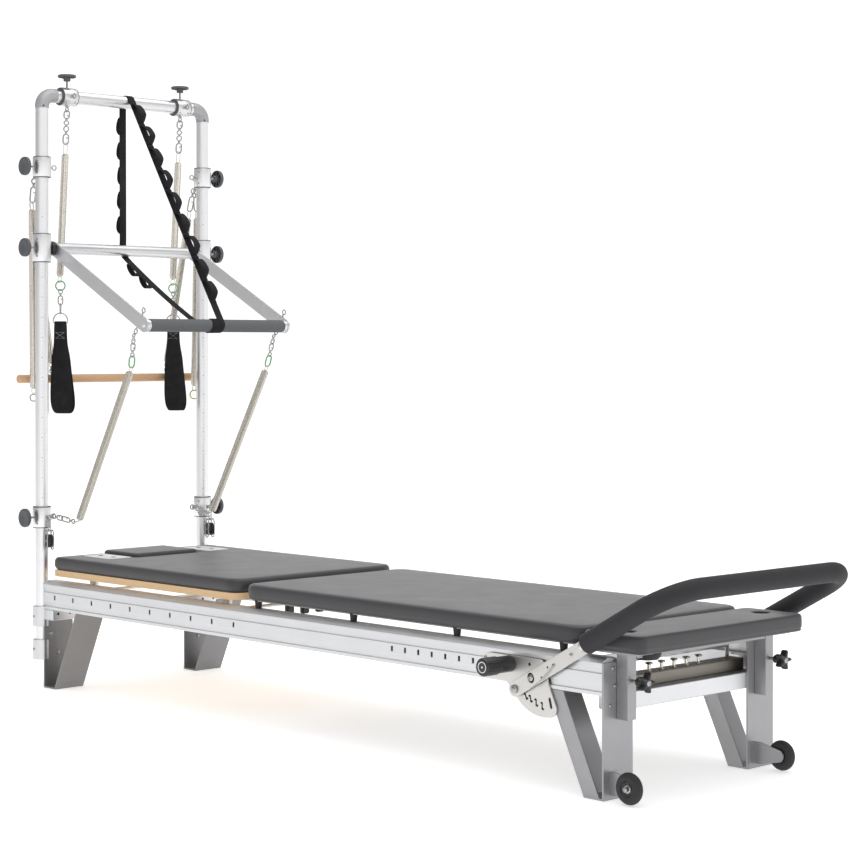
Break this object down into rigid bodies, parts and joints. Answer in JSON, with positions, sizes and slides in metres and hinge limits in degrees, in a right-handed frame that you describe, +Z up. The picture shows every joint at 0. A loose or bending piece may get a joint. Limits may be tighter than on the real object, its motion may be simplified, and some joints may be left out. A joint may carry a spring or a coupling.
{
  "type": "pilates reformer",
  "caption": "Pilates reformer with a half tower: sliding carriage, mat, folding footbar, push-through bar, springs and hand loops.",
  "frame": {"origin": "on the floor under the middle of the object's bounding box", "axes": "+X along the rails from the tower to the footbar, +Y across the rails to the far side, +Z up"},
  "size_m": [2.7311, 0.8696, 1.949],
  "materials": {
    "aluminium": "satin anodised aluminium",
    "stainless_steel": "brushed stainless steel",
    "grey_paint": "grey satin powder coat",
    "dark_grey_vinyl": "dark grey upholstery vinyl, matt, fine grain",
    "black_foam": "black closed-cell foam sleeve, matt",
    "grey_foam": "grey closed-cell foam sleeve, matt",
    "black_plastic": "black moulded plastic, satin",
    "knob_plastic": "dark grey moulded plastic, satin",
    "beech": "clear lacquered beech dowel",
    "birch_plywood": "clear lacquered birch plywood",
    "black_webbing": "black woven webbing, matt",
    "nickel_wire": "nickel plated spring wire"
  },
  "bodies": {
    "frame": {"rail_near": "aluminium", "rail_far": "aluminium", "head_beam": "aluminium", "foot_beam": "aluminium", "spring_bar": "aluminium", "leg_head_near": "grey_paint", "leg_head_far": "grey_paint", "leg_foot_near": "grey_paint", "leg_foot_far": "grey_paint", "tower_post_near": "aluminium", "tower_post_far": "aluminium", "tower_top_bar": "aluminium", "post_clamp_near": "aluminium", "post_clamp_far": "aluminium", "footbar_plate_near": "stainless_steel", "footbar_plate_far": "stainless_steel", "push_collar_near": "aluminium", "push_collar_far": "aluminium", "lower_collar_near": "aluminium", "lower_collar_far": "aluminium", "safety_strap": "black_webbing"},
    "carriage": {"carriage_board": "birch_plywood", "carriage_pad": "dark_grey_vinyl"},
    "axle_rear": {"carriage_axle_rear": "stainless_steel"},
    "axle_front": {"carriage_axle_front": "stainless_steel"},
    "headrest": {"headrest": "dark_grey_vinyl"},
    "mat": {"mat": "dark_grey_vinyl"},
    "platform": {"platform_pad": "dark_grey_vinyl", "platform_frame": "grey_paint"},
    "footbar": {"footbar_frame": "stainless_steel", "footbar_grip": "black_foam"},
    "push_bar": {"push_bar_frame": "aluminium", "push_bar_grip": "grey_foam"},
    "push_springs": {"push_spring_near": "nickel_wire", "push_spring_far": "nickel_wire"},
    "roll_collars": {"roll_collar_near": "aluminium", "roll_collar_far": "aluminium"},
    "roll_down": {"roll_down_bar": "beech", "roll_spring_near": "nickel_wire", "roll_spring_far": "nickel_wire"},
    "star_knob_near": {"platform_knob_near": "black_plastic"},
    "plunger_near": {"plunger_knob_near": "black_plastic"},
    "wheel_near": {"transport_wheel_near": "black_plastic"},
    "top_collar_near": {"arm_collar_near": "aluminium"},
    "arm_spring_near": {"arm_spring_near": "nickel_wire"},
    "hand_loop_near": {"hand_loop_near": "black_webbing"},
    "arm_knob_near": {"arm_knob_near": "knob_plastic"},
    "roll_knob_near": {"roll_knob_near": "knob_plastic"},
    "push_knob_near": {"push_knob_near": "knob_plastic"},
    "lower_knob_near": {"lower_knob_near": "knob_plastic"},
    "star_knob_far": {"platform_knob_far": "black_plastic"},
    "plunger_far": {"plunger_knob_far": "black_plastic"},
    "wheel_far": {"transport_wheel_far": "black_plastic"},
    "top_collar_far": {"arm_collar_far": "aluminium"},
    "arm_spring_far": {"arm_spring_far": "nickel_wire"},
    "hand_loop_far": {"hand_loop_far": "black_webbing"},
    "arm_knob_far": {"arm_knob_far": "knob_plastic"},
    "roll_knob_far": {"roll_knob_far": "knob_plastic"},
    "push_knob_far": {"push_knob_far": "knob_plastic"},
    "lower_knob_far": {"lower_knob_far": "knob_plastic"}
  },
  "joints": [
    {"name": "carriage_slide", "type": "slide", "parent": "frame", "child": "carriage", "axis": [1, 0, 0], "range_m": [0, 0.02]},
    {"name": "axle_rear_roll", "type": "hinge", "parent": "carriage", "child": "axle_rear", "pos_m": [-1.0967, 0, 0.3105], "axis": [0, 1, 0], "range_deg": [0, 58]},
    {"name": "axle_front_roll", "type": "hinge", "parent": "carriage", "child": "axle_front", "pos_m": [-0.4267, 0, 0.3105], "axis": [0, 1, 0], "range_deg": [0, 58]},
    {"name": "headrest_tilt", "type": "hinge", "parent": "carriage", "child": "headrest", "pos_m": [-1.0342, 0, 0.414], "axis": [0, 1, 0], "range_deg": [0, 40]},
    {"name": "mat_lift_off", "type": "slide", "parent": "frame", "child": "mat", "axis": [0, 0, 1], "range_m": [0, 0.25]},
    {"name": "platform_lift_off", "type": "slide", "parent": "frame", "child": "platform", "axis": [0, 0, 1], "range_m": [0, 0.08]},
    {"name": "footbar_fold", "type": "hinge", "parent": "frame", "child": "footbar", "pos_m": [0.8323, 0, 0.237], "axis": [0, -1, 0], "range_deg": [0, 45]},
    {"name": "push_bar_swing", "type": "hinge", "parent": "frame", "child": "push_bar", "pos_m": [-1.2707, 0, 1.3915], "axis": [0, -1, 0], "range_deg": [0, 45], "deforming": ["safety_strap"]},
    {"name": "push_spring_stretch", "type": "slide", "parent": "frame", "child": "push_springs", "axis": [0.1606, 0, 0.987], "range_m": [0, 0.3916], "deforming": ["push_spring_near", "push_spring_far"]},
    {"name": "roll_collar_height", "type": "slide", "parent": "frame", "child": "roll_collars", "axis": [0, 0, 1], "range_m": [-0.15, 0.1]},
    {"name": "roll_down_swing", "type": "hinge", "parent": "roll_collars", "child": "roll_down", "pos_m": [-1.3147, 0, 1.605], "axis": [0, 1, 0], "range_deg": [0, 25]},
    {"name": "star_knob_turn_near", "type": "hinge", "parent": "platform", "child": "star_knob_near", "pos_m": [1.1443, -0.268, 0.2835], "axis": [1, 0, 0], "continuous": true},
    {"name": "plunger_pull_near", "type": "slide", "parent": "frame", "child": "plunger_near", "axis": [0, -1, 0], "range_m": [0, 0.012], "stiffness_N_per_m": 900},
    {"name": "transport_wheel_roll_near", "type": "hinge", "parent": "frame", "child": "wheel_near", "pos_m": [1.1813, -0.321, 0.04], "axis": [0, 1, 0], "continuous": true},
    {"name": "top_collar_slide_near", "type": "slide", "parent": "frame", "child": "top_collar_near", "axis": [0, 1, 0], "range_m": [0, 0.06]},
    {"name": "arm_spring_swing_near", "type": "hinge", "parent": "top_collar_near", "child": "arm_spring_near", "pos_m": [-1.2707, -0.226, 1.84], "axis": [1, 0, 0], "range_deg": [0, 5]},
    {"name": "hand_loop_swing_near", "type": "hinge", "parent": "arm_spring_near", "child": "hand_loop_near", "pos_m": [-1.3072, -0.226, 1.28], "axis": [0, -1, 0], "range_deg": [0, 50]},
    {"name": "arm_knob_turn_near", "type": "hinge", "parent": "top_collar_near", "child": "arm_knob_near", "pos_m": [-1.2707, -0.226, 1.9075], "axis": [0, 0, 1], "continuous": true},
    {"name": "roll_knob_turn_near", "type": "hinge", "parent": "roll_collars", "child": "roll_knob_near", "pos_m": [-1.2707, -0.3505, 1.648], "axis": [0, -1, 0], "continuous": true},
    {"name": "push_knob_turn_near", "type": "hinge", "parent": "frame", "child": "push_knob_near", "pos_m": [-1.2707, -0.3505, 1.3915], "axis": [0, -1, 0], "continuous": true},
    {"name": "lower_knob_turn_near", "type": "hinge", "parent": "frame", "child": "lower_knob_near", "pos_m": [-1.2707, -0.3505, 0.5375], "axis": [0, -1, 0], "continuous": true},
    {"name": "star_knob_turn_far", "type": "hinge", "parent": "platform", "child": "star_knob_far", "pos_m": [1.1443, 0.268, 0.2835], "axis": [1, 0, 0], "continuous": true},
    {"name": "plunger_pull_far", "type": "slide", "parent": "frame", "child": "plunger_far", "axis": [0, 1, 0], "range_m": [0, 0.012], "stiffness_N_per_m": 900},
    {"name": "transport_wheel_roll_far", "type": "hinge", "parent": "frame", "child": "wheel_far", "pos_m": [1.1813, 0.27, 0.04], "axis": [0, 1, 0], "continuous": true},
    {"name": "top_collar_slide_far", "type": "slide", "parent": "frame", "child": "top_collar_far", "axis": [0, -1, 0], "range_m": [0, 0.06]},
    {"name": "arm_spring_swing_far", "type": "hinge", "parent": "top_collar_far", "child": "arm_spring_far", "pos_m": [-1.2707, 0.226, 1.84], "axis": [-1, 0, 0], "range_deg": [0, 5]},
    {"name": "hand_loop_swing_far", "type": "hinge", "parent": "arm_spring_far", "child": "hand_loop_far", "pos_m": [-1.3072, 0.226, 1.28], "axis": [0, -1, 0], "range_deg": [0, 50]},
    {"name": "arm_knob_turn_far", "type": "hinge", "parent": "top_collar_far", "child": "arm_knob_far", "pos_m": [-1.2707, 0.226, 1.9075], "axis": [0, 0, 1], "continuous": true},
    {"name": "roll_knob_turn_far", "type": "hinge", "parent": "roll_collars", "child": "roll_knob_far", "pos_m": [-1.2707, 0.3505, 1.648], "axis": [0, 1, 0], "continuous": true},
    {"name": "push_knob_turn_far", "type": "hinge", "parent": "frame", "child": "push_knob_far", "pos_m": [-1.2707, 0.3505, 1.3915], "axis": [0, 1, 0], "continuous": true},
    {"name": "lower_knob_turn_far", "type": "hinge", "parent": "frame", "child": "lower_knob_far", "pos_m": [-1.2707, 0.3505, 0.5375], "axis": [0, 1, 0], "continuous": true}
  ],
  "couplings": [
    {"joint": "axle_rear_roll", "follows": "carriage_slide", "rad_per_m": 50},
    {"joint": "axle_front_roll", "follows": "carriage_slide", "rad_per_m": 50},
    {"joint": "push_spring_stretch", "follows": "push_bar_swing", "m_per_rad": 0.49733}
  ]
}
